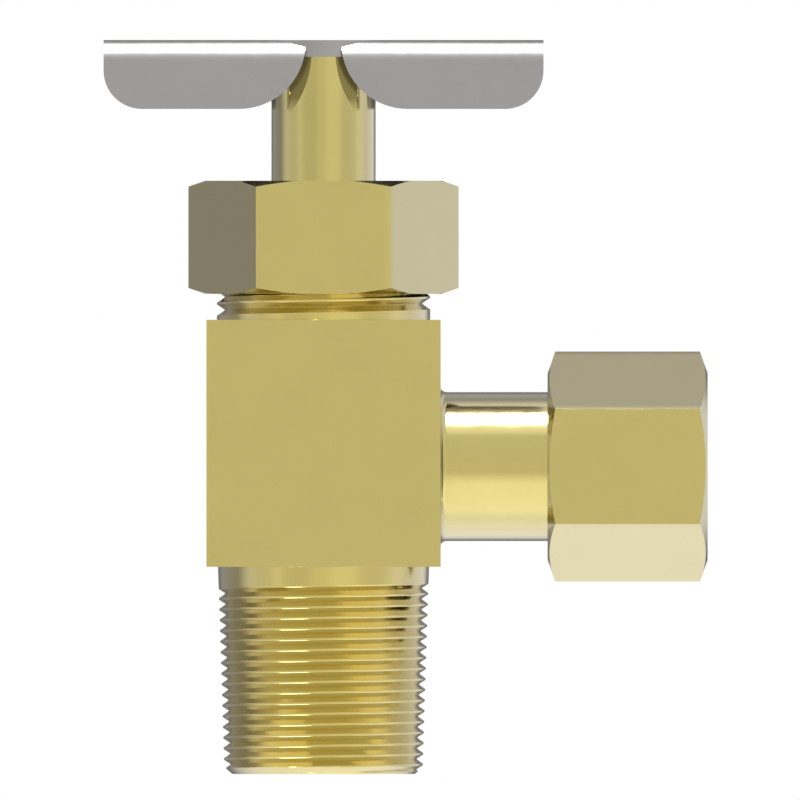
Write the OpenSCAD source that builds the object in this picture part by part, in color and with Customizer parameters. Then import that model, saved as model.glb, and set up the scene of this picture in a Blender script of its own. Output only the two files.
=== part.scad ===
/* [Inlet] */
// Length of the tapered thread on the inlet
inlet_thread_len = 19.05; // [14:0.05:24]
// Plain length between the inlet thread and the block
inlet_shoulder_len = 2; // [1:0.1:4]
// Diameter of the inlet where it meets the block
inlet_d = 21.48; // [20:0.02:23]
// Diameter lost for each millimetre of inlet thread
inlet_taper = 0.0625; // [0:0.0025:0.075]
// Pitch of the inlet thread
inlet_pitch = 1.084; // [0.8:0.004:1.9]
// Depth of the inlet thread
inlet_thread_depth = 0.69; // [0.4:0.01:1]
// Height of the bevel at the inlet's end
inlet_bevel_h = 0.7; // [0.4:0.05:1.2]
// Width of the bevel at the inlet's end, along the radius
inlet_bevel_w = 0.8; // [0.3:0.05:1.2]
// Diameter of the inlet bore
inlet_bore_d = 13.5; // [11:0.1:15]
// Depth of the inlet bore, up to its drill point
inlet_bore_depth = 18.8; // [12:0.1:21]

/* [Block] */
// Side of the square block
block_w = 23.8; // [22:0.1:28]
// Height of the block
block_h = 25.1; // [24:0.1:30]

/* [Seat] */
// Diameter of the port under the seat
port_d = 9.5; // [8:0.1:10]
// Height of the seat lip above the chamber floor
seat_lip_h = 1.7; // [1:0.1:2.2]
// Width of the seat lip at its root
seat_lip_root_w = 1.2; // [0.8:0.05:1.6]
// Width of the flat on top of the seat lip
seat_lip_top_w = 0.4; // [0.2:0.05:0.7]

/* [Outlet] */
// Height of the outlet's axis above the bottom of the block
outlet_rise = 10.19; // [9.5:0.01:11.5]
// Diameter of the neck between the block and the outlet nut
neck_d = 15.15; // [14.6:0.05:16]
// Length of the neck that shows between the block and the outlet nut
neck_show_len = 10.86; // [8:0.02:16]
// Radius of the fillet where the neck meets the block
neck_fillet_r = 0.6; // [0.3:0.05:1.2]
// Diameter of the outlet's flow bore
outlet_bore_d = 10.3; // [9:0.1:11]
// Diameter of the tube that the outlet takes
tube_d = 12.7; // [12:0.05:13.2]
// Radial room round the tube in its socket
tube_room = 0.1; // [0.06:0.01:0.12]
// Depth of the tube socket, from the mouth of the thread stub
socket_depth = 7.2; // [5:0.1:8]
// Diameter over the outlet thread
outlet_thread_d = 17.4; // [17:0.05:17.9]
// Pitch of the outlet thread
outlet_pitch = 1.27; // [1:0.01:1.6]
// Depth of the outlet thread
outlet_thread_depth = 0.65; // [0.4:0.01:0.75]
// Length of the outlet thread
outlet_thread_len = 8.64; // [7:0.02:11]

/* [Outlet nut] */
// Length of the outlet nut
outlet_nut_len = 16.27; // [15.6:0.01:20]
// Wall of the outlet nut over its thread, at the flats
outlet_nut_wall = 1.375; // [1.15:0.005:2.5]
// Where the bevel starts on the nut's end faces, inside the flats
outlet_nut_rim_step = 0.52; // [0.2:0.02:0.8]
// Length of plain neck that the nut covers before the thread starts
outlet_nut_skirt = 1.6; // [1:0.1:2.4]

/* [Ferrule] */
// Outer diameter of the ferrule
ferrule_d = 14.7; // [14.2:0.05:15.2]
// Length of the ferrule's straight barrel
ferrule_barrel_len = 3; // [2:0.1:3.4]
// Slope of the ferrule's ends from the tube axis, in degrees
ferrule_angle = 40; // [30:1:50]

/* [Packing boss] */
// Height of the boss above the block
boss_h = 9.85; // [9:0.05:12]
// Pitch of the boss thread
boss_pitch = 1.32; // [1:0.02:1.8]
// Depth of the boss thread
boss_thread_depth = 0.87; // [0.5:0.01:1]
// Height of the plain collar under the boss thread
boss_collar_h = 0.85; // [0.4:0.05:2]
// Diameter of the packing box
packing_box_d = 16.5; // [15.8:0.1:17.2]
// Depth of the packing box
packing_box_depth = 8.5; // [8.2:0.05:9.2]

/* [Packing nut] */
// Height of the packing nut
packing_nut_h = 11.5; // [8:0.1:13]
// How much wider than the block the packing nut is, across its flats
packing_nut_extra_w = 0; // [-0.3:0.05:1]
// Wall of the packing nut over the boss thread, at the flats
packing_nut_skirt_wall = 1; // [0.8:0.05:1.4]
// Where the bevel starts on the nut's end faces, outside the flats
packing_nut_rim_step = 0.23; // [0:0.01:0.5]
// Thickness of the wall over the gland
packing_nut_wall = 2.98; // [2:0.02:4]

/* [Gland and packing] */
// Thickness of the gland's flange
gland_flange_t = 1; // [0.8:0.05:2]
// How far the gland's flange stays inside the boss thread, along the radius
gland_flange_inset = 1.55; // [1:0.05:2]
// Room under the gland's flange for taking up wear
gland_take_up = 0.3; // [0.2:0.05:1]
// Thickness of the washer under the packing
packing_washer_t = 1; // [0.6:0.05:1.4]
// Thickness of one packing ring
packing_ring_t = 1; // [0.8:0.05:1.2]
// Height of the ridge on each packing ring
packing_ridge_h = 1; // [0.5:0.05:1.3]
// Thickness of the adapters' edges above and below the rings
adapter_edge_t = 0.8; // [0.5:0.05:1.1]

/* [Stem] */
// Diameter of the stem
stem_d = 10.6; // [10:0.05:11]
// Length of stem that shows between the packing nut and the handle
stem_show_len = 12.59; // [10:0.01:18]
// Diameter of the threaded collar on the stem
collar_d = 13.9; // [13.4:0.05:14.4]
// Length of the threaded collar on the stem
collar_len = 5.5; // [4:0.1:6.5]
// Pitch of the stem thread, one turn's lift
stem_pitch = 1.27; // [1:0.01:1.5]
// Depth of the stem thread
stem_thread_depth = 0.6; // [0.4:0.02:0.8]
// Turns of the handle from shut to fully open
stem_turns = 3; // [2:0.25:3]
// Room above the collar at fully open
collar_spare = 0.6; // [0.4:0.05:1]
// Diameter of the spigot that carries the disc holder
spigot_d = 7; // [6.4:0.05:7.6]
// Side of the square tenon that is peened into the handle
tenon_w = 5.5; // [4.5:0.05:6.2]

/* [Disc] */
// Diameter of the seat disc
seat_disc_d = 11; // [10.8:0.05:11.4]
// Thickness of the seat disc
seat_disc_t = 2; // [1.8:0.05:2.6]
// Depth of the holder's cup round the seat disc
cup_depth = 1.35; // [0.8:0.05:1.6]
// Wall of the holder's cup
cup_wall = 0.75; // [0.5:0.05:0.9]
// Thickness of the holder's web between cup and socket
holder_web = 2.6; // [2.3:0.05:3.2]
// Depth of the holder's socket
holder_socket_depth = 3.4; // [3:0.05:3.8]
// Diameter of the holder round its socket
holder_neck_d = 10.8; // [10.2:0.1:12]
// Thickness of the holder's clip
clip_t = 0.7; // [0.5:0.05:0.9]
// Depth of the clip's groove in the stem
clip_bite = 0.55; // [0.4:0.05:0.8]
// Width of the gap in the clip
clip_gap = 2.2; // [1.2:0.1:3]
// Thread diameter of the disc screw
screw_d = 3; // [2.5:0.1:3.4]
// Length of thread that the disc screw has in the holder
screw_grip = 2; // [1.4:0.05:2.1]
// Diameter of the disc screw's head
screw_head_d = 5.4; // [4.8:0.1:6]
// Height of the disc screw's head
screw_head_h = 1.6; // [1.2:0.05:2]
// Width of the slot in the disc screw's head
screw_slot_w = 0.8; // [0.5:0.05:1]
// Diameter of the disc washer
disc_washer_d = 7; // [6.6:0.1:7.6]
// Thickness of the disc washer
disc_washer_t = 0.8; // [0.5:0.05:1.2]

/* [Handle] */
// Length of the handle from tip to tip
handle_len = 44.7; // [38:0.1:60]
// Thickness of the handle's sheet metal
sheet_t = 1.7; // [1.2:0.05:2]
// Width inside the handle's channel
channel_w = 8.2; // [7.6:0.05:8.6]
// Depth of the handle's channel, over the sheet
channel_depth = 7; // [6:0.05:9]
// Outer radius of the bends along the handle
bend_r = 2.3; // [1.2:0.05:2.6]
// How far the hub's curved edges stay inside the wings' outer faces
hub_inset = 0.42; // [0:0.02:1.2]
// Radius of the hub's curved edges
hub_edge_r = 8.36; // [6.5:0.02:14]
// Gap between the two wings over the hub
wing_gap = 3.64; // [3:0.02:5]
// Radius of each wing's inner lower corner
wing_inner_r = 6.74; // [5.6:0.02:6.9]
// Radius of each wing's outer lower corner
wing_outer_r = 3.9; // [2:0.1:5.8]
// How much wider the stem's milled pocket is than the wing's corner
pocket_extra_r = 3.96; // [3.8:0.02:5]
// How far the pocket's centre lies beyond the corner's, away from the stem
pocket_shift_x = 3.34; // [3:0.02:3.5]
// How far the pocket's centre lies below the corner's
pocket_shift_z = 0.73; // [0.4:0.02:0.9]

/* [Fits] */
// Radial clearance of pieces that turn or slide in each other
running_gap = 0.05; // [0.03:0.005:0.08]
// Clearance along the axis between seats that close on each other
seat_gap = 0.1; // [0.05:0.01:0.2]
// Clearance round the pieces in the packing box
packing_gap = 0.1; // [0.05:0.01:0.15]

/* [Hidden] */

$fn = 96;
brass = [0.75, 0.69, 0.42];
bright_brass = [0.82, 0.74, 0.45];
plated_steel = [0.66, 0.65, 0.63];
steel = [0.58, 0.59, 0.6];
nylon = [0.9, 0.88, 0.82];
black_rubber = [0.12, 0.12, 0.12];
cut = 1;
drill_angle = 59;
bevel_angle = 20.7;
thread_crest_share = 1 / 8;

// Heights, from the inlet's end face up the stem axis
block_z = inlet_thread_len + inlet_shoulder_len;
block_top_z = block_z + block_h;
outlet_z = block_z + outlet_rise;
chamber_floor_drop = 0.4;
chamber_floor_z = outlet_z - outlet_bore_d / 2 - chamber_floor_drop;
seat_z = chamber_floor_z + seat_lip_h;
boss_top_z = block_top_z + boss_h;
shelf_z = boss_top_z - packing_box_depth;
gland_flange_z = boss_top_z + gland_take_up;
gland_top_z = gland_flange_z + gland_flange_t;
packing_nut_top_z = gland_top_z + packing_nut_wall;
packing_nut_z = packing_nut_top_z - packing_nut_h;
hub_z = packing_nut_top_z + stem_show_len;
handle_top_z = hub_z + sheet_t;
wing_z = handle_top_z - channel_depth;

// The stack on the seat
disc_z = seat_z + running_gap;
cup_floor_z = disc_z + seat_disc_t;
holder_z = cup_floor_z - cup_depth;
holder_socket_z = cup_floor_z + holder_web;
holder_top_z = holder_socket_z + holder_socket_depth;
clip_groove_h = clip_t + 2 * running_gap;
clip_drop = 1.9;
clip_z = holder_top_z - clip_drop;
collar_top_z = shelf_z - stem_turns * stem_pitch - collar_spare;
collar_z = collar_top_z - collar_len;
chamber_d = collar_d + 2 * running_gap;
holder_bore_d = spigot_d + 2 * running_gap;
holder_groove_d = holder_bore_d + 2 * clip_bite + 4 * running_gap;
clip_d = holder_groove_d - 2 * running_gap;
clip_bore_d = spigot_d - 2 * clip_bite;
cup_bore_d = seat_disc_d + 2 * running_gap;
cup_d = cup_bore_d + 2 * cup_wall;

// The packing nut, and the boss thread and gland inside it
packing_nut_af = block_w + packing_nut_extra_w;
packing_nut_bore_d = packing_nut_af - 2 * packing_nut_skirt_wall;
boss_thread_d = packing_nut_bore_d - 2 * running_gap;
gland_flange_d = boss_thread_d - 2 * gland_flange_inset;

// The packing stack in its box
packing_z = shelf_z + packing_washer_t;
rings_z = packing_z + adapter_edge_t;
packing_rings = 3;
top_adapter_z = rings_z + packing_rings * packing_ring_t;
gland_z = top_adapter_z + packing_ridge_h + adapter_edge_t;
packing_d = packing_box_d - 2 * packing_gap;
stem_hole_d = stem_d + 2 * running_gap;
packing_nut_hole_d = stem_d + 2 * (running_gap + packing_gap);

// The outlet, along +X from the stem axis
neck_x = block_w / 2;
outlet_nut_x = neck_x + neck_show_len;
outlet_thread_x = outlet_nut_x + outlet_nut_skirt;
stub_x = outlet_thread_x + outlet_thread_len;
socket_x = stub_x - socket_depth;
socket_d = tube_d + 2 * tube_room;
ferrule_slope = tan(ferrule_angle);
ferrule_lip = 0.1;
mouth_len = (ferrule_d / 2 - socket_d / 2) / ferrule_slope;
ferrule_cone_len = (ferrule_d / 2 - socket_d / 2 - ferrule_lip) / ferrule_slope;
barrel_x = stub_x + seat_gap;
barrel_end_x = barrel_x + ferrule_barrel_len;
nut_pocket_d = ferrule_d + 2 * packing_gap;
nut_cone_len = (nut_pocket_d / 2 - socket_d / 2) / ferrule_slope;
nut_overrun = 0.8;
nut_shoulder_x = stub_x + nut_overrun;
outlet_nut_bore_d = outlet_thread_d + 2 * running_gap;
outlet_nut_af = outlet_nut_bore_d + 2 * outlet_nut_wall;

// The handle and the stem's seat in it
channel_outer_w = channel_w + 2 * sheet_t;
hub_w = channel_outer_w - 2 * hub_inset;
wing_corner_x = wing_gap / 2 + wing_inner_r;
wing_corner_z = wing_z + wing_inner_r;
pocket_r = wing_inner_r + pocket_extra_r;
stem_flats_w = channel_w - 2 * running_gap;

// Outline of a stretch of thread that starts at a root: [radius, height] points
function thread_points(start, length, pitch, depth, r_start, slope) =
    let (turns = floor(length / pitch), crest = pitch * thread_crest_share)
    [
        for (turn = [0 : turns - 1])
            for (step = [[0, depth], [(pitch - crest) / 2, 0], [(pitch + crest) / 2, 0]])
                let (along = turn * pitch + step[0])
                    [r_start + slope * along - step[1], start + along]
    ];

// Turns its children from the stem axis to the outlet axis
module on_outlet_axis() {
    translate([0, 0, outlet_z]) rotate([0, 90, 0]) children();
}

// A ring with square edges, standing on its height z
module ring(z, h, d_out, d_in) {
    translate([0, 0, z]) difference() {
        cylinder(d = d_out, h = h);
        translate([0, 0, -cut]) cylinder(d = d_in, h = h + 2 * cut);
    }
}

// A hexagon bar of height h with both ends bevelled from the rim radius rim_r
module hex_blank(af, h, rim_r) {
    corner_r = af / sqrt(3);
    bevel_h = (corner_r + cut - rim_r) * tan(bevel_angle);
    intersection() {
        cylinder(r = corner_r, h = h, $fn = 6);
        rotate_extrude() polygon([
            [0, 0], [rim_r, 0], [corner_r + cut, bevel_h],
            [corner_r + cut, h - bevel_h], [rim_r, h], [0, h]
        ]);
    }
}

// What a corner of radius r loses when it is rounded, its tip at the origin
module corner_loss(r) {
    difference() {
        translate([-cut, -cut]) square(r + cut);
        translate([r, r]) circle(r);
    }
}

// The threaded nipple below the block
module inlet_nipple() {
    slope = inlet_taper / 2;
    thread_z = inlet_bevel_h + inlet_pitch / 2;
    bevel_r = inlet_d / 2 - slope * (block_z - inlet_bevel_h);
    thread_r = inlet_d / 2 - slope * (block_z - thread_z);
    points = thread_points(
        thread_z, inlet_thread_len - thread_z, inlet_pitch, inlet_thread_depth, thread_r, slope
    );
    last = points[len(points) - 1];
    rotate_extrude() polygon(concat(
        [[0, 0], [bevel_r - inlet_bevel_w, 0], [bevel_r, inlet_bevel_h]],
        points,
        [
            [last[0] - inlet_thread_depth, last[1] + inlet_pitch / 2],
            [last[0], last[1] + inlet_pitch * 3 / 4],
            [inlet_d / 2, block_z], [inlet_d / 2, block_z + cut], [0, block_z + cut]
        ]
    ));
}

// The threaded boss above the block
module packing_boss() {
    thread_z = block_top_z + boss_collar_h;
    r = boss_thread_d / 2;
    points = thread_points(
        thread_z, boss_h - boss_collar_h, boss_pitch, boss_thread_depth, r, 0
    );
    rotate_extrude() polygon(concat(
        [[0, block_top_z - cut], [r, block_top_z - cut], [r, thread_z - boss_pitch / 3]],
        points,
        [[r - boss_thread_depth, boss_top_z], [0, boss_top_z]]
    ));
}

// The neck and the threaded stub that the outlet nut screws on
module outlet_arm() {
    r = outlet_thread_d / 2;
    points = thread_points(
        outlet_thread_x + outlet_thread_depth, outlet_thread_len - outlet_thread_depth,
        outlet_pitch, outlet_thread_depth, r, 0
    );
    on_outlet_axis() {
        rotate_extrude() polygon(concat(
            [[0, 0], [neck_d / 2, 0], [neck_d / 2, outlet_thread_x]],
            points,
            [[r - outlet_thread_depth, stub_x], [0, stub_x]]
        ));
        translate([0, 0, neck_x]) rotate_extrude() translate([neck_d / 2 - neck_fillet_r, 0])
            difference() {
                translate([0, -cut]) square([2 * neck_fillet_r, neck_fillet_r + cut]);
                translate([2 * neck_fillet_r, neck_fillet_r]) circle(neck_fillet_r);
            }
    }
}

// The raised lip that the seat disc closes on
module seat_lip() {
    inner = port_d / 2;
    outer = inner + seat_lip_root_w;
    rotate_extrude() polygon([
        [inner, chamber_floor_z - cut], [outer, chamber_floor_z - cut], [outer, chamber_floor_z],
        [inner + seat_lip_top_w, seat_z], [inner, seat_z]
    ]);
}

// Everything that is bored out of the body
module passages() {
    drill_tip_h = (inlet_bore_d - port_d) / 2 / tan(drill_angle);
    difference() {
        union() {
            translate([0, 0, -cut]) cylinder(d = inlet_bore_d, h = inlet_bore_depth + cut);
            translate([0, 0, inlet_bore_depth])
                cylinder(d1 = inlet_bore_d, d2 = port_d, h = drill_tip_h);
            translate([0, 0, inlet_bore_depth]) cylinder(d = port_d, h = seat_z - inlet_bore_depth + cut);
            translate([0, 0, chamber_floor_z]) cylinder(d = chamber_d, h = shelf_z - chamber_floor_z);
            translate([0, 0, shelf_z]) cylinder(d = packing_box_d, h = packing_box_depth + cut);
            on_outlet_axis() {
                cylinder(d = outlet_bore_d, h = socket_x + cut);
                translate([0, 0, socket_x]) cylinder(d = socket_d, h = socket_depth + cut);
                translate([0, 0, stub_x - mouth_len])
                    cylinder(d1 = socket_d, d2 = ferrule_d, h = mouth_len);
            }
        }
        seat_lip();
    }
}

// Forged body: block, inlet, outlet arm and packing boss in one piece
module body() {
    color(brass) difference() {
        union() {
            inlet_nipple();
            translate([-block_w / 2, -block_w / 2, block_z]) cube([block_w, block_w, block_h]);
            packing_boss();
            outlet_arm();
        }
        passages();
    }
}

// Large hexagon nut that presses the gland on the packing
module packing_nut() {
    color(brass) difference() {
        translate([0, 0, packing_nut_z])
            hex_blank(packing_nut_af, packing_nut_h, packing_nut_af / 2 + packing_nut_rim_step);
        translate([0, 0, packing_nut_z - cut])
            cylinder(d = packing_nut_bore_d, h = gland_top_z - packing_nut_z + cut);
        cylinder(d = packing_nut_hole_d, h = packing_nut_top_z + cut);
    }
}

// Flanged bush between the packing and its nut
module gland_follower() {
    color(bright_brass) {
        difference() {
            union() {
                translate([0, 0, gland_z]) cylinder(d = packing_d, h = gland_top_z - gland_z);
                translate([0, 0, gland_flange_z]) cylinder(d = gland_flange_d, h = gland_flange_t);
            }
            cylinder(d = stem_hole_d, h = gland_top_z + cut);
        }
    }
}

// Cross-section of a packing piece: its floor and its top each carry a ridge height
module packing_section(z, h, ridge_below, ridge_above) {
    inner = stem_hole_d / 2;
    outer = packing_d / 2;
    middle = (inner + outer) / 2;
    rotate_extrude() polygon([
        [inner, z], [middle, z + ridge_below], [outer, z],
        [outer, z + h], [middle, z + h + ridge_above], [inner, z + h]
    ]);
}

// One vee ring, counted from the bottom
module packing_ring(number) {
    color(nylon) packing_section(
        rings_z + (number - 1) * packing_ring_t, packing_ring_t, packing_ridge_h, packing_ridge_h
    );
}

module packing_ring_1() {
    packing_ring(1);
}

module packing_ring_2() {
    packing_ring(2);
}

module packing_ring_3() {
    packing_ring(3);
}

// Lower adapter, flat below and ridged above
module packing_bottom_adapter() {
    inner = stem_hole_d / 2;
    outer = packing_d / 2;
    color(nylon) rotate_extrude() polygon([
        [inner, packing_z], [outer, packing_z], [outer, rings_z],
        [(inner + outer) / 2, rings_z + packing_ridge_h], [inner, rings_z]
    ]);
}

// Upper adapter, grooved below and flat above
module packing_top_adapter() {
    inner = stem_hole_d / 2;
    outer = packing_d / 2;
    color(nylon) rotate_extrude() polygon([
        [inner, top_adapter_z], [(inner + outer) / 2, top_adapter_z + packing_ridge_h],
        [outer, top_adapter_z], [outer, gland_z], [inner, gland_z]
    ]);
}

// Washer that carries the packing on the shelf of its box
module packing_washer() {
    color(bright_brass) ring(shelf_z, packing_washer_t, packing_d, stem_hole_d);
}

// The pockets milled beside the stem's flats, where the wings pass
module stem_pockets() {
    for (side = [-1, 1], face = [-1, 1])
        translate([side * (wing_corner_x + pocket_shift_x), 0, wing_corner_z - pocket_shift_z])
            rotate([90, 0, 0]) translate([0, 0, face > 0 ? stem_flats_w / 2 : -stem_flats_w / 2 - stem_d])
                cylinder(r = pocket_r, h = stem_d);
}

// Stem: spigot with the clip's groove, threaded collar, shaft, flats and tenon
module stem() {
    spigot_z = holder_socket_z + running_gap;
    groove_z = clip_z - running_gap;
    spigot_r = spigot_d / 2;
    groove_r = spigot_r - clip_bite - running_gap;
    collar_r = collar_d / 2;
    root_r = collar_r - stem_thread_depth;
    points = thread_points(
        collar_z + stem_thread_depth, collar_len - stem_thread_depth,
        stem_pitch, stem_thread_depth, collar_r, 0
    );
    color(brass) {
        difference() {
            rotate_extrude() polygon(concat(
                [
                    [0, spigot_z], [spigot_r, spigot_z], [spigot_r, groove_z],
                    [groove_r, groove_z], [groove_r, groove_z + clip_groove_h],
                    [spigot_r, groove_z + clip_groove_h], [spigot_r, collar_z], [root_r, collar_z]
                ],
                points,
                [[root_r, collar_top_z], [stem_d / 2, collar_top_z], [stem_d / 2, hub_z], [0, hub_z]]
            ));
            stem_pockets();
        }
        translate([-tenon_w / 2, -tenon_w / 2, hub_z - cut]) cube([tenon_w, tenon_w, sheet_t + cut]);
    }
}

// Side view of one wing, its top edge on the handle's top
module wing_outline() {
    wing_len = (handle_len - wing_gap) / 2;
    translate([wing_gap / 2, wing_z]) difference() {
        square([wing_len, channel_depth]);
        corner_loss(wing_inner_r);
        translate([wing_len, 0]) mirror([1, 0]) corner_loss(wing_outer_r);
    }
}

// End view of the channel: a folded sheet, open below
module channel_outline() {
    difference() {
        translate([-channel_outer_w / 2, wing_z]) square([channel_outer_w, channel_depth]);
        translate([-channel_w / 2, wing_z - cut]) square([channel_w, channel_depth - sheet_t + cut]);
        for (side = [0, 1])
            mirror([side, 0]) translate([channel_outer_w / 2, handle_top_z]) rotate(180)
                corner_loss(bend_r);
    }
}

// Plate between the wings, its two long edges curved outwards
module hub() {
    shift = hub_edge_r - hub_w / 2;
    intersection() {
        translate([0, shift, hub_z]) cylinder(r = hub_edge_r, h = sheet_t);
        translate([0, -shift, hub_z]) cylinder(r = hub_edge_r, h = sheet_t);
    }
}

// Pressed handle: two channel wings and a hub with a square hole
module handle() {
    hole_w = tenon_w + 2 * running_gap;
    color(plated_steel) difference() {
        union() {
            intersection() {
                translate([-handle_len / 2, 0, 0]) rotate([90, 0, 90])
                    linear_extrude(handle_len) channel_outline();
                translate([0, channel_outer_w / 2 + cut, 0]) rotate([90, 0, 0])
                    linear_extrude(channel_outer_w + 2 * cut) {
                        wing_outline();
                        mirror([1, 0]) wing_outline();
                    }
            }
            hub();
        }
        translate([-hole_w / 2, -hole_w / 2, hub_z - cut]) cube([hole_w, hole_w, sheet_t + 2 * cut]);
    }
}

// Holder that swivels on the stem's spigot and carries the seat disc
module disc_holder() {
    color(bright_brass) difference() {
        union() {
            translate([0, 0, holder_z]) cylinder(d = cup_d, h = cup_depth + holder_web / 2);
            translate([0, 0, holder_z]) cylinder(d = holder_neck_d, h = holder_top_z - holder_z);
        }
        translate([0, 0, holder_z - cut]) cylinder(d = cup_bore_d, h = cup_depth + cut);
        translate([0, 0, holder_z])
            cylinder(d = screw_d + 2 * running_gap, h = cup_depth + screw_grip + running_gap);
        translate([0, 0, holder_socket_z]) cylinder(d = holder_bore_d, h = holder_socket_depth + cut);
        translate([0, 0, clip_z - running_gap]) cylinder(d = holder_groove_d, h = clip_groove_h);
    }
}

// Open spring ring that holds the holder on the spigot
module holder_clip() {
    color(steel) difference() {
        ring(clip_z, clip_t, clip_d, clip_bore_d);
        translate([0, -clip_gap / 2, clip_z - cut]) cube([clip_d, clip_gap, clip_t + 2 * cut]);
    }
}

// Soft disc that seals on the lip
module seat_disc() {
    color(black_rubber) ring(disc_z, seat_disc_t, seat_disc_d, screw_d + 2 * running_gap);
}

// Washer between the seat disc and its screw
module disc_washer() {
    color(steel) ring(disc_z - disc_washer_t, disc_washer_t, disc_washer_d, screw_d + 2 * running_gap);
}

// Slotted screw that holds the seat disc in the cup
module disc_screw() {
    head_z = disc_z - disc_washer_t - screw_head_h;
    shank_len = screw_head_h + disc_washer_t + seat_disc_t + screw_grip;
    color(steel) difference() {
        union() {
            translate([0, 0, head_z]) cylinder(d = screw_head_d, h = screw_head_h);
            translate([0, 0, head_z]) cylinder(d = screw_d, h = shank_len);
        }
        translate([-screw_head_d / 2 - cut, -screw_slot_w / 2, head_z - cut])
            cube([screw_head_d + 2 * cut, screw_slot_w, screw_head_h / 2 + cut]);
    }
}

// Long hexagon nut that presses the ferrule on the tube
module outlet_nut() {
    pocket_end_x = barrel_end_x + seat_gap;
    color(brass) on_outlet_axis() difference() {
        translate([0, 0, outlet_nut_x])
            hex_blank(outlet_nut_af, outlet_nut_len, outlet_nut_af / 2 - outlet_nut_rim_step);
        translate([0, 0, outlet_nut_x - cut])
            cylinder(d = outlet_nut_bore_d, h = nut_shoulder_x - outlet_nut_x + cut);
        translate([0, 0, outlet_nut_x]) cylinder(d = nut_pocket_d, h = pocket_end_x - outlet_nut_x);
        translate([0, 0, pocket_end_x]) cylinder(d1 = nut_pocket_d, d2 = socket_d, h = nut_cone_len);
        translate([0, 0, outlet_nut_x]) cylinder(d = socket_d, h = outlet_nut_len + cut);
    }
}

// Double-tapered sleeve that grips the tube
module ferrule() {
    inner = socket_d / 2;
    tip = inner + ferrule_lip;
    outer = ferrule_d / 2;
    color(bright_brass) on_outlet_axis() rotate_extrude() polygon([
        [inner, barrel_x - ferrule_cone_len], [tip, barrel_x - ferrule_cone_len],
        [outer, barrel_x], [outer, barrel_end_x],
        [tip, barrel_end_x + ferrule_cone_len], [inner, barrel_end_x + ferrule_cone_len]
    ]);
}

body();
packing_nut();
gland_follower();
packing_top_adapter();
packing_ring_1();
packing_ring_2();
packing_ring_3();
packing_bottom_adapter();
packing_washer();
stem();
handle();
disc_holder();
holder_clip();
seat_disc();
disc_washer();
disc_screw();
outlet_nut();
ferrule();
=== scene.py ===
import math

import bmesh
import bpy
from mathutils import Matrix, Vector


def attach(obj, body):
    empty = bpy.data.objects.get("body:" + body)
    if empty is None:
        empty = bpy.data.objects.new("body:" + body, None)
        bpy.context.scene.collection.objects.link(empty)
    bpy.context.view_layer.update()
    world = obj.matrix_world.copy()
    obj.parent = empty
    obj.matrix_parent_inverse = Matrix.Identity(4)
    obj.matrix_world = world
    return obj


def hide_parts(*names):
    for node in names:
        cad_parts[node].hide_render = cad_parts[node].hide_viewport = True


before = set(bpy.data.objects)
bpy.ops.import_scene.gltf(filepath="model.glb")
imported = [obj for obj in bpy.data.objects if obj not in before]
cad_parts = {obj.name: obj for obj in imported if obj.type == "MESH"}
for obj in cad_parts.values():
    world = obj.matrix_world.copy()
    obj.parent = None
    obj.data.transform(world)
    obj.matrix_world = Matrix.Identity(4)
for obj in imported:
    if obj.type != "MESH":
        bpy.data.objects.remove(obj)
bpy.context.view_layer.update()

MM = 0.001

# Sizes are in millimetres: z up the stem axis from the inlet's end, x along the outlet.
# The body's three threaded lengths, as (start, end) along their axes
OUTLET_Z = 31.24
INLET, BOSS, STUB = (0, 21.05), (46.15, 56.0), (24.36, 33.0)

# Where the stem is milled away beside the wings: half the flats' width, the cutter's place and radius
STEM_R, HUB_Z = 5.3, 72.87
FLAT_Y, CUTTER_X, CUTTER_Z, CUTTER_R = 4.05, 11.9, 73.58, 10.7

# Middle of the valve in metres, at which the studio and the lamps are centred
CENTRE = (0.008, 0, 0.038)

WELD = 1e-7
CREASE = math.radians(15)


# Meshes

def cad_copy(node):
    """A welded copy of a node's mesh that remembers the exact normals of its curved faces."""
    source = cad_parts[node].data
    bm = bmesh.new()
    bm.from_mesh(source)
    exact = bm.loops.layers.float_vector.new("exact")
    for face, polygon in zip(bm.faces, source.polygons):
        for loop, index in zip(face.loops, polygon.loop_indices):
            loop[exact] = source.corner_normals[index].vector
    bmesh.ops.remove_doubles(bm, verts=bm.verts, dist=WELD)
    return bm


def finish_piece(bm, name, body, materials, node):
    """Makes the object, with exact normals where they are known and smooth ones elsewhere."""
    bmesh.ops.recalc_face_normals(bm, faces=bm.faces)
    for face in bm.faces:
        face.smooth = True
    for edge in bm.edges:
        edge.smooth = len(edge.link_faces) == 2 and edge.calc_face_angle(0) < CREASE
    mesh = bpy.data.meshes.new(name)
    bm.to_mesh(mesh)
    bm.free()
    if "exact" in mesh.attributes:
        exact = [Vector(item.vector) for item in mesh.attributes["exact"].data]
        usual = [Vector(item.vector) for item in mesh.corner_normals]
        mesh.attributes.remove(mesh.attributes["exact"])
        mesh.normals_split_custom_set([e if e.length > 0.5 else u for e, u in zip(exact, usual)])
    piece = bpy.data.objects.new(name, mesh)
    bpy.context.scene.collection.objects.link(piece)
    for material in materials:
        mesh.materials.append(material)
    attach(piece, body)
    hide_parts(node)


def on_stem_axis(r, angle, along):
    return Vector((r * math.cos(angle), r * math.sin(angle), along)) * MM


def on_outlet_axis(r, angle, along):
    return Vector((along, -r * math.sin(angle), OUTLET_Z + r * math.cos(angle))) * MM


def from_stem_axis(co):
    return math.hypot(co.x, co.y) / MM


def from_outlet_axis(co):
    return math.hypot(co.y, co.z - OUTLET_Z * MM) / MM


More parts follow.
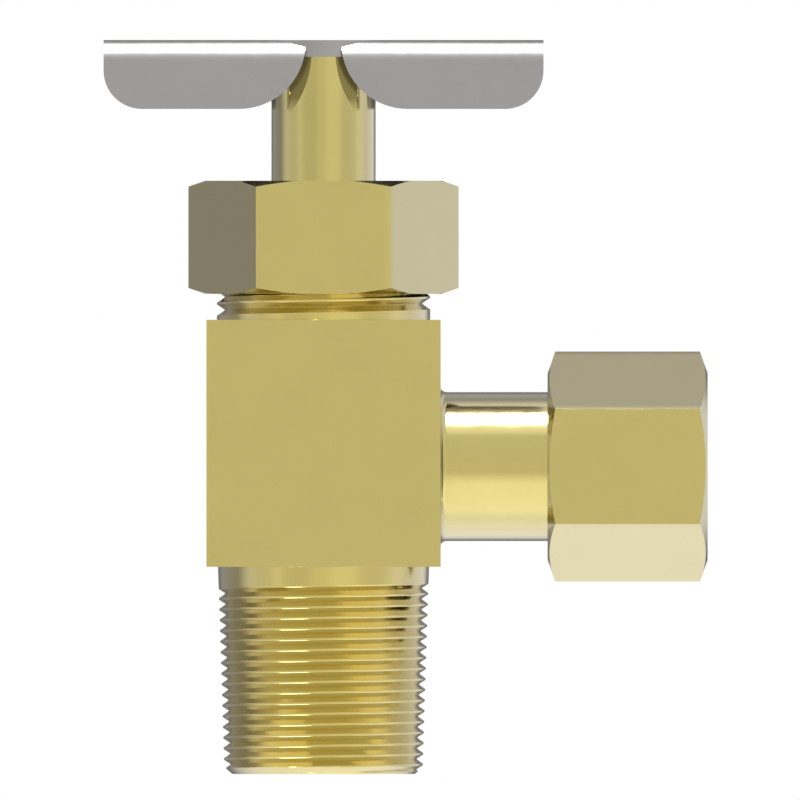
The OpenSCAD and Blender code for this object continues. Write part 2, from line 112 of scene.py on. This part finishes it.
def thread_profile(worn_edge):
    """(share of the pitch, share of the depth) from root to root: straight flanks and a slightly
    rounded crest, whose lower edge may be worn."""
    below, below_drop = 0.1, 0.03
    above, above_drop = 0.075, 0.02
    foot, foot_height = 0.5 - below - worn_edge, 1 - below_drop - 1.14 * worn_edge
    rows = [(foot * s, foot_height * s) for s in (0, 0.35, 0.7)]
    if worn_edge:
        rows.append((foot, foot_height))
    rows += [(0.5 - below * s, 1 - below_drop * s ** 2) for s in (1, 0.67, 0.33, 0)]
    rows += [(0.5 + above * s, 1 - above_drop * s ** 2) for s in (0.5, 1)]
    rows += [(1 - (0.5 - above) * s, (1 - above_drop) * s) for s in (0.7, 0.35)]
    return rows


def add_thread(
    bm, place, ends, crest_r, pitch, depth, first_root,
    last_groove=None, cut_start=None, cut_end=None, worn_edge=0,
):
    """A right-hand thread. Groove 0 has its root at first_root behind the valve, where the first
    and last grooves run out. No last groove means a thread up to its end. A cut is (radius at the
    end, slope)."""
    columns, seam, run_out, lift = 96, math.radians(90), 0.1, 0.02
    start, end = ends
    low, high = start + lift, end - lift

    def groove_share(groove, turn):
        share = 1.0
        if groove < 0 or (last_groove is not None and groove > last_groove):
            share = 0.0
        elif groove == 0:
            share = min(1.0, turn / run_out)
        elif groove == last_groove:
            share = min(1.0, (1 - turn) / run_out)
        return share

    def radius(along, groove, height, turn):
        r = crest_r(along) - depth * groove_share(groove, turn) * (1 - height)
        if cut_start:
            r = min(r, cut_start[0] + cut_start[1] * (along - start))
        if cut_end:
            r = min(r, cut_end[0] + cut_end[1] * (end - along))
        return r

    below = math.floor((start - first_root) / pitch) - 2
    above = math.ceil((end - first_root) / pitch) + 1
    profile = thread_profile(worn_edge)
    rows = [(whole, phase, height) for whole in range(below, above + 1) for phase, height in profile]
    grid = []
    for column in range(columns):
        turn = column / columns
        angle = seam + 2 * math.pi * turn
        first = bm.verts.new(place(radius(low, below, 0, turn), angle, low))
        last = bm.verts.new(place(radius(high, above + 1, 0, turn), angle, high))
        line = []
        for whole, phase, height in rows:
            along = first_root + (whole + phase + turn) * pitch
            if along <= low:
                line.append(first)
            elif along >= high:
                line.append(last)
            else:
                groove = whole if phase < 0.5 else whole + 1
                line.append(bm.verts.new(place(radius(along, groove, height, turn), angle, along)))
        grid.append(line)
    step = len(profile)
    grid.append(grid[0][step:] + [grid[0][-1]] * step)
    for column in range(columns):
        for row in range(len(rows) - 1):
            corners = [
                grid[column][row], grid[column + 1][row],
                grid[column + 1][row + 1], grid[column][row + 1],
            ]
            kept = list(dict.fromkeys(corners))
            if len(kept) > 2:
                # Thread faces take the second slot: the body's brass made lighter, painted light for the
                # grooves
                bm.faces.new(kept).material_index = 1


def bridge(bm, along_of, at):
    """Joins the open loops that lie about a height."""
    edges = [
        e for e in bm.edges
        if e.is_boundary and all(abs(along_of(v.co) / MM - at) < 0.05 for v in e.verts)
    ]
    bmesh.ops.bridge_loops(bm, edges=edges)


def make_body(material, lightened_thread_material):
    """The casting, with true helical threads in place of the frame's rings."""
    inside_block, inside_stub, margin = 9.2, 7.5, 0.001
    bm = cad_copy("body")
    rings = []
    for face in bm.faces:
        c = face.calc_center_median()
        x, z = c.x / MM, c.z / MM
        on_inlet = INLET[0] + margin < z < INLET[1] - margin and from_stem_axis(c) > inside_block
        on_boss = BOSS[0] + margin < z < BOSS[1] - margin and from_stem_axis(c) > inside_block
        on_stub = STUB[0] < x < STUB[1] - margin and from_outlet_axis(c) > inside_stub
        if on_inlet or on_boss or on_stub:
            rings.append(face)
    bmesh.ops.delete(bm, geom=rings, context="FACES")

    # A pipe thread tapers by 1:16 on its diameter, so by 1:32 on its radius
    add_thread(
        bm, on_stem_axis, INLET, lambda z: 10.083 + z / 32, pitch=1.084, depth=0.65, first_root=-0.357,
        last_groove=17, cut_start=(9.304, 1.143), worn_edge=0.03,
    )
    add_thread(
        bm, on_stem_axis, BOSS, lambda z: 10.85, pitch=1.32, depth=0.81, first_root=46.81,
        cut_end=(9.98, 1),
    )
    add_thread(
        bm, on_outlet_axis, STUB, lambda x: 8.7, pitch=1.27, depth=0.65, first_root=23.8,
        cut_start=(7.575, 1.2), cut_end=(8.05, 1),
    )
    for at in INLET + BOSS:
        bridge(bm, lambda co: co.z, at)
    for at in STUB:
        bridge(bm, lambda co: co.x, at)
    finish_piece(bm, "casting", "valve_body", (material, lightened_thread_material), "body")


def hexagon_rays(flats, corner_r):
    """(angle, radius) all round a hexagon with rounded corners, the first corner at angle 0."""
    side_steps, corner_steps = 10, 2
    half, sixth = flats / 2, math.radians(30)
    touch = math.atan((half - corner_r) * math.tan(sixth) / half)
    centre = (half - corner_r) / math.cos(sixth)
    rays = []
    for side in range(6):
        middle = math.radians(60 * side + 30)
        for step in range(2 * side_steps + 1):
            a = touch * (step / side_steps - 1)
            rays.append((middle + a, half / math.cos(a)))
        for step in range(1, 2 * corner_steps):
            b = (sixth - touch) * (step / corner_steps - 1)
            r = centre * math.cos(b) + math.sqrt(max(corner_r ** 2 - (centre * math.sin(b)) ** 2, 0))
            rays.append((middle + sixth + b, r))
    return rays


def make_nut(name, body, material, node, place, flats, corner_r, ends, rim_r, bore):
    """A bevelled hexagon nut as one closed skin, its bore given as (radius, along)."""
    bevel, least_land = math.tan(math.radians(20.7)), 0.3
    low, high = ends
    bm = bmesh.new()
    lines = []
    for angle, r in hexagon_rays(flats, corner_r):
        drop = max(r - rim_r, 0) * bevel
        rim = min(rim_r, r - least_land)
        outline = [(rim, low), (r, low + drop), (r, high - drop), (rim, high)] + bore
        lines.append([bm.verts.new(place(r_here, angle, along)) for r_here, along in outline])
    for i, line in enumerate(lines):
        after = lines[(i + 1) % len(lines)]
        for j in range(len(line)):
            k = (j + 1) % len(line)
            bm.faces.new((line[j], after[j], after[k], line[k]))
    bmesh.ops.remove_doubles(bm, verts=bm.verts, dist=WELD)
    finish_piece(bm, name, body, (material,), node)


def make_stem(material, pocket_shade_material):
    """The turned stem, with rougher pockets painted darker as shade under the wings, whose floors slope a
    little to the sides.
    """
    outer, slope = math.sqrt(STEM_R ** 2 - FLAT_Y ** 2), 0.21
    pockets_z = (64, HUB_Z - 0.01)
    bm = cad_copy("stem")
    exact = bm.loops.layers.float_vector["exact"]
    floor_verts = set()
    for face in bm.faces:
        c = face.calc_center_median()
        x, y, z = abs(c.x) / MM, abs(c.y) / MM, c.z / MM
        beside_wings = pockets_z[0] < z < pockets_z[1]
        on_wall = y > FLAT_Y and abs(math.hypot(x - CUTTER_X, z - CUTTER_Z) - CUTTER_R) < 0.1
        # Pocket walls and floors take the second slot: brass painted dark as shade under the handle's wings
        if beside_wings and on_wall:
            face.material_index = 1
        if beside_wings and abs(y - FLAT_Y) < 0.01 and abs(face.normal.y) > 0.99:
            face.material_index = 1
            floor_verts.update(face.verts)
            for loop in face.loops:
                loop[exact] = (0, 0, 0)
    for vert in floor_verts:
        y = FLAT_Y + slope * (outer - abs(vert.co.x) / MM)
        vert.co.y = math.copysign(y * MM, vert.co.y)
    finish_piece(bm, "turned_stem", "spindle", (material, pocket_shade_material), "stem")


# Materials

def new_material(name):
    material = bpy.data.materials.new(name)
    material.use_nodes = True
    nodes, links = material.node_tree.nodes, material.node_tree.links
    return material, nodes, links, nodes["Principled BSDF"]


def grain(nodes, links, scale, stretch=(1, 1, 1), detail=3):
    """Noise in the object's own coordinates, scale in features a metre."""
    coords = nodes.new("ShaderNodeTexCoord")
    mapping = nodes.new("ShaderNodeMapping")
    mapping.inputs["Scale"].default_value = stretch
    noise = nodes.new("ShaderNodeTexNoise")
    noise.inputs["Scale"].default_value = scale
    noise.inputs["Detail"].default_value = detail
    links.new(coords.outputs["Object"], mapping.inputs["Vector"])
    links.new(mapping.outputs["Vector"], noise.inputs["Vector"])
    return noise.outputs["Fac"]


def ramp(nodes, links, value, from_range, to_range=(0, 1)):
    node = nodes.new("ShaderNodeMapRange")
    node.inputs["From Min"].default_value, node.inputs["From Max"].default_value = from_range
    node.inputs["To Min"].default_value, node.inputs["To Max"].default_value = to_range
    links.new(value, node.inputs["Value"])
    return node.outputs["Result"]


def spread(nodes, links, noise, low, high):
    """Spreads noise, which keeps near its middle, over a whole range."""
    return ramp(nodes, links, noise, (0.3, 0.7), (low, high))


def tint(nodes, links, value, colour_a, colour_b):
    mix = nodes.new("ShaderNodeMix")
    mix.data_type = "RGBA"
    mix.inputs[6].default_value = (*colour_a, 1)
    mix.inputs[7].default_value = (*colour_b, 1)
    links.new(value, mix.inputs[0])
    return mix.outputs[2]


def add_bump(nodes, links, shader, height, strength, distance):
    relief = nodes.new("ShaderNodeBump")
    relief.inputs["Strength"].default_value = strength
    relief.inputs["Distance"].default_value = distance * MM
    links.new(height, relief.inputs["Height"])
    links.new(relief.outputs["Normal"], shader.inputs["Normal"])


def grazing_gloss(nodes, links, strength):
    """Gloss that grows towards the surface's edge-on sides."""
    layer = nodes.new("ShaderNodeLayerWeight")
    layer.inputs["Blend"].default_value = 0.5
    curve = nodes.new("ShaderNodeMath")
    curve.operation = "POWER"
    curve.inputs[1].default_value = 1.5
    links.new(layer.outputs["Facing"], curve.inputs[0])
    scale = nodes.new("ShaderNodeMath")
    scale.operation = "MULTIPLY"
    scale.use_clamp = True
    scale.inputs[1].default_value = strength
    links.new(curve.outputs[0], scale.inputs[0])
    return scale.outputs[0]


def metal(name, colour, other_colour, roughness, lines=(1, 1, 1), gloss=2.0):
    """Metal with slight patches of tone, uneven polish, fine tool marks and a gloss at its edges."""
    material, nodes, links, shader = new_material(name)
    shader.inputs["Metallic"].default_value = 1
    shader.inputs["Coat IOR"].default_value = 4
    shader.inputs["Coat Roughness"].default_value = 0.12
    links.new(grazing_gloss(nodes, links, gloss), shader.inputs["Coat Weight"])
    patches = spread(nodes, links, grain(nodes, links, 160), 0, 1)
    links.new(tint(nodes, links, patches, colour, other_colour), shader.inputs["Base Color"])
    polish = grain(nodes, links, 700, detail=4)
    links.new(spread(nodes, links, polish, *roughness), shader.inputs["Roughness"])
    marks = grain(nodes, links, 1000, lines, detail=2)
    add_bump(nodes, links, shader, marks, strength=0.02, distance=0.05)
    return material


def fade_below(material, colour, low, high):
    """Blends the base colour into another one between two heights on the piece."""
    nodes, links = material.node_tree.nodes, material.node_tree.links
    base = nodes["Principled BSDF"].inputs["Base Color"]
    coords = nodes.new("ShaderNodeTexCoord")
    split = nodes.new("ShaderNodeSeparateXYZ")
    links.new(coords.outputs["Object"], split.inputs["Vector"])
    mix = nodes.new("ShaderNodeMix")
    mix.data_type = "RGBA"
    mix.inputs[6].default_value = (*colour, 1)
    links.new(base.links[0].from_socket, mix.inputs[7])
    links.new(ramp(nodes, links, split.outputs["Z"], (low * MM, high * MM)), mix.inputs[0])
    links.new(mix.outputs[2], base)


def darken_edge_on(material, level):
    """Lets a metal reflect less where it is seen edge-on."""
    shader = material.node_tree.nodes["Principled BSDF"]
    shader.inputs["Specular Tint"].default_value = (level, level, level, 1)


def soft_material(name, colour, other_colour, roughness):
    """Plain plastic or rubber with a fine moulded grain."""
    material, nodes, links, shader = new_material(name)
    value = grain(nodes, links, 500)
    patches = spread(nodes, links, value, 0, 1)
    links.new(tint(nodes, links, patches, colour, other_colour), shader.inputs["Base Color"])
    links.new(spread(nodes, links, value, roughness, roughness + 0.1), shader.inputs["Roughness"])
    add_bump(nodes, links, shader, value, strength=0.1, distance=0.02)
    return material


# Studio: white surroundings, bright below and darker behind, that only reflections see

def glow_material(name):
    """A material with nothing in it yet, for a piece that only gives light."""
    material = bpy.data.materials.new(name)
    material.use_nodes = True
    material.node_tree.nodes.clear()
    return material, material.node_tree.nodes, material.node_tree.links


def finish_glow(name, mesh, material, strength):
    """Puts a glowing mesh on the stage, where nothing but reflections sees it."""
    nodes, links = material.node_tree.nodes, material.node_tree.links
    glow = nodes.new("ShaderNodeEmission")
    links.new(strength, glow.inputs["Strength"])
    output = nodes.new("ShaderNodeOutputMaterial")
    links.new(glow.outputs["Emission"], output.inputs["Surface"])
    mesh.materials.append(material)
    piece = bpy.data.objects.new(name, mesh)
    bpy.context.scene.collection.objects.link(piece)
    piece.visible_camera = False
    piece.visible_diffuse = False
    piece.visible_shadow = False
    piece.visible_transmission = False
    return piece


def zone(nodes, links, direction, low, high, level, weight_from, weight_to):
    """Mixes a level in where direction (x, y, z) dotted with the view lies between low and high."""
    dot = nodes.new("ShaderNodeVectorMath")
    dot.operation = "DOT_PRODUCT"
    dot.inputs[1].default_value = direction
    links.new(weight_from, dot.inputs[0])
    share = nodes.new("ShaderNodeMapRange")
    share.interpolation_type = "SMOOTHSTEP"
    share.inputs["From Min"].default_value = low
    share.inputs["From Max"].default_value = high
    links.new(dot.outputs["Value"], share.inputs["Value"])
    mix = nodes.new("ShaderNodeMix")
    mix.data_type = "FLOAT"
    links.new(share.outputs["Result"], mix.inputs[0])
    links.new(weight_to, mix.inputs[2])
    if isinstance(level, float):
        mix.inputs[3].default_value = level
    else:
        links.new(level, mix.inputs[3])
    return mix.outputs[0]


def constant(nodes, value):
    node = nodes.new("ShaderNodeValue")
    node.outputs[0].default_value = value
    return node.outputs[0]


# Soft tones round the front, as (azimuth to the right, reach, level) in degrees
ROUND_TONES = ((-30, 22, 0.86), (20, 22, 1.12), (58, 24, 0.9), (-80, 30, 0.82))

# Zones as (direction, edge, core, level), where edge and core are cosines from the direction
FRONT_ZONES = (
    ((0, -0.42, 0.907), 0.955, 0.99, 1.35),
    ((0, 0, -1), 0.1, 0.5, 1.6),
)
BEHIND_LEVEL = 0.34
BEHIND_ZONES = (
    ((1, 0, 0), -0.7, 0.8, 0.85),
    ((0, 0, 1), 0.3, 0.9, 0.36),
    ((0, 1, 0), 0.78, 0.96, 0.2),
    ((0, 1, 0), 0.985, 0.998, 0.8),
    ((0, 0, -1), 0.3, 0.9, 1.2),
    ((0, 0, -1), 0.9, 0.98, 1.3),
)
BEHIND = ((0, 1, -0.35), -0.05, 0.35)
LOW_BOX = ((-0.351, -0.207, -0.914), 0.976, 0.988, 8.0)


def make_studio():
    """The dome: white in front, with the zones above."""
    bm = bmesh.new()
    bmesh.ops.create_icosphere(bm, subdivisions=4, radius=1.8)
    mesh = bpy.data.meshes.new("studio_dome")
    bm.to_mesh(mesh)
    bm.free()
    material, nodes, links = glow_material("studio_light")
    coords = nodes.new("ShaderNodeTexCoord")
    unit = nodes.new("ShaderNodeVectorMath")
    unit.operation = "NORMALIZE"
    links.new(coords.outputs["Object"], unit.inputs[0])
    way = unit.outputs["Vector"]
    level = constant(nodes, 1.0)
    for azimuth, reach, tone in ROUND_TONES:
        a = math.radians(azimuth)
        level = zone(
            nodes, links, (math.sin(a), -math.cos(a), 0), math.cos(math.radians(reach)), 1, tone, way, level,
        )
    for direction, edge, core, tone in FRONT_ZONES:
        level = zone(nodes, links, direction, edge, core, tone, way, level)
    behind = constant(nodes, BEHIND_LEVEL)
    for direction, edge, core, tone in BEHIND_ZONES:
        behind = zone(nodes, links, direction, edge, core, tone, way, behind)
    level = zone(nodes, links, *BEHIND, behind, way, level)
    level = zone(nodes, links, *LOW_BOX, way, level)
    dome = finish_glow("studio_dome", mesh, material, level)
    dome.location = CENTRE


def make_card():
    """A card on the floor round the inlet's front and left, seen in reflections: white in front,
    brighter towards the outlet and darker at the back."""
    left, right, front, back = -60, 12, -150, 25
    gap_left, gap_front = -13, -16
    mesh = bpy.data.meshes.new("floor_card")
    corners = [
        (left, front), (right, front), (right, -10.5), (-1.2, -10.5), (-5.2, gap_front),
        (gap_left, gap_front), (gap_left, back), (left, back), (left, gap_front),
    ]
    faces = [(0, 1, 4, 5, 8), (1, 2, 3, 4), (8, 5, 6, 7)]
    mesh.from_pydata([(x * MM, y * MM, 0) for x, y in corners], [], faces)
    material, nodes, links = glow_material("floor_card")
    coords = nodes.new("ShaderNodeTexCoord")
    split = nodes.new("ShaderNodeSeparateXYZ")
    links.new(coords.outputs["Object"], split.inputs["Vector"])
    to_outlet = ramp(nodes, links, split.outputs["X"], (6 * MM, 13 * MM), (1.0, 1.4))
    to_back = ramp(nodes, links, split.outputs["Y"], (-13 * MM, -3 * MM), (1.0, 0.35))
    product = nodes.new("ShaderNodeMath")
    product.operation = "MULTIPLY"
    links.new(to_outlet, product.inputs[0])
    links.new(to_back, product.inputs[1])
    finish_glow("floor_card", mesh, material, product.outputs[0])


def make_lamp(name, azimuth, elevation, size, energy, in_reflections):
    """A soft box a metre away, azimuth to the right of the front, for reflections or for the floor."""
    light = bpy.data.lights.new(name, "AREA")
    light.shape = "RECTANGLE"
    light.size, light.size_y = size
    light.energy = energy
    lamp = bpy.data.objects.new(name, light)
    bpy.context.scene.collection.objects.link(lamp)
    a, e = math.radians(azimuth), math.radians(elevation)
    way = Vector((math.sin(a) * math.cos(e), -math.cos(a) * math.cos(e), math.sin(e)))
    lamp.location = Vector(CENTRE) + way
    lamp.rotation_euler = way.to_track_quat("Z", "Y").to_euler()
    lamp.visible_diffuse = not in_reflections
    lamp.visible_glossy = in_reflections
    lamp.visible_camera = False


def make_floor():
    """A pale floor just below the inlet's end, which reflections don't see."""
    half, drop = 1.5, 0.0003
    corners = [(-half, -half, 0), (half, -half, 0), (half, half, 0), (-half, half, 0)]
    mesh = bpy.data.meshes.new("floor")
    mesh.from_pydata(corners, [], [(0, 1, 2, 3)])
    floor = bpy.data.objects.new("floor", mesh)
    floor.location = (0, 0, -drop)
    bpy.context.scene.collection.objects.link(floor)
    floor.visible_glossy = False
    material, nodes, links, shader = new_material("floor")
    shader.inputs["Base Color"].default_value = (0.85, 0.85, 0.85, 1)
    shader.inputs["Roughness"].default_value = 0.9
    shader.inputs["Specular IOR Level"].default_value = 0
    mesh.materials.append(material)


def make_world():
    """White to the camera and to reflections, and a little less as light on the object."""
    world = bpy.data.worlds.new("studio")
    bpy.context.scene.world = world
    world.use_nodes = True
    nodes, links = world.node_tree.nodes, world.node_tree.links
    path = nodes.new("ShaderNodeLightPath")
    first = nodes.new("ShaderNodeMath")
    first.operation = "ADD"
    second = nodes.new("ShaderNodeMath")
    second.operation = "ADD"
    second.use_clamp = True
    links.new(path.outputs["Is Camera Ray"], first.inputs[0])
    links.new(path.outputs["Is Glossy Ray"], first.inputs[1])
    links.new(first.outputs[0], second.inputs[0])
    links.new(path.outputs["Is Transmission Ray"], second.inputs[1])
    background = nodes["Background"]
    background.inputs["Color"].default_value = (1, 1, 1, 1)
    links.new(ramp(nodes, links, second.outputs[0], (0, 1), (0.7, 1)), background.inputs["Strength"])


def make_camera():
    """A straight front view without perspective, 0.1016 mm a pixel."""
    data = bpy.data.cameras.new("camera")
    data.type = "ORTHO"
    data.ortho_scale = 0.08128
    camera = bpy.data.objects.new("camera", data)
    bpy.context.scene.collection.objects.link(camera)
    camera.location = (0.00777, -1, 0.0380)
    camera.rotation_euler = (math.pi / 2, 0, 0)
    bpy.context.scene.camera = camera


BRASS_A, BRASS_B = (0.53, 0.448, 0.156), (0.512, 0.432, 0.148)
forged = metal("forged_brass", BRASS_A, BRASS_B, (0.07, 0.11))
# Thread brass: a lighter copy of the body's brass, painted light so that the grooves read brighter
threaded_lit_brass = metal("threaded_brass_painted_light", (0.6, 0.49, 0.155), (0.58, 0.475, 0.148), (0.11, 0.15))
# Pocket brass: a rougher finish, its base painted dark as shade under the handle's wings; the fade brings
# plain brass back below 67.1 mm, so it is darker towards the top
milled_painted_shade = metal("milled_brass_painted_shade", (0.222, 0.184, 0.062), (0.208, 0.172, 0.058), (0.18, 0.22), gloss=0.3)
fade_below(milled_painted_shade, BRASS_A, 67.1, 68.7)
turned = metal("turned_brass", BRASS_A, BRASS_B, (0.06, 0.1), lines=(0.05, 0.05, 4))
turned_x = metal("turned_brass_outlet", BRASS_A, BRASS_B, (0.06, 0.1), lines=(4, 0.05, 0.05))
zinc = metal("zinc_plate", (0.316, 0.303, 0.293), (0.326, 0.312, 0.302), (0.3, 0.34), gloss=0.8)
darken_edge_on(zinc, 0.3)
steel = metal("spring_steel", (0.42, 0.42, 0.43), (0.38, 0.38, 0.39), (0.25, 0.32), gloss=0.8)
packing = soft_material("packing_plastic", (0.85, 0.83, 0.78), (0.8, 0.78, 0.72), 0.4)
rubber = soft_material("seat_rubber", (0.03, 0.03, 0.03), (0.02, 0.02, 0.02), 0.6)

NODE_MATERIALS = {
    "handle": zinc,
    "gland_follower": turned,
    "disc_holder": turned,
    "packing_washer": turned,
    "ferrule": turned_x,
    "holder_clip": steel,
    "disc_washer": steel,
    "disc_screw": steel,
    "packing_top_adapter": packing,
    "packing_ring_1": packing,
    "packing_ring_2": packing,
    "packing_ring_3": packing,
    "packing_bottom_adapter": packing,
    "seat_disc": rubber,
}
for node, material in NODE_MATERIALS.items():
    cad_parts[node].data.materials.clear()
    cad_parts[node].data.materials.append(material)

make_body(forged, threaded_lit_brass)
make_nut(
    "packing_hexagon", "valve_body", turned, "packing_nut", on_stem_axis,
    flats=23.8, corner_r=0.06, ends=(48.78, 60.28), rim_r=12.13,
    bore=[(5.45, 60.28), (5.45, 57.3), (10.9, 57.3), (10.9, 48.78)],
)
make_nut(
    "outlet_hexagon", "nut", turned_x, "outlet_nut", on_outlet_axis,
    flats=20.25, corner_r=0.004, ends=(22.76, 39.03), rim_r=9.605,
    bore=[(6.45, 39.03), (6.45, 37.39), (7.45, 36.2), (7.45, 33.8), (8.75, 33.8), (8.75, 22.76)],
)
make_stem(turned, milled_painted_shade)

make_studio()
make_card()
make_lamp("strip", azimuth=0, elevation=79.2, size=(0.4, 0.35), energy=28, in_reflections=True)
make_lamp("key", azimuth=-35, elevation=60, size=(0.8, 0.8), energy=6, in_reflections=False)
make_floor()
make_world()
make_camera()
bpy.context.scene.view_settings.view_transform = "Standard"
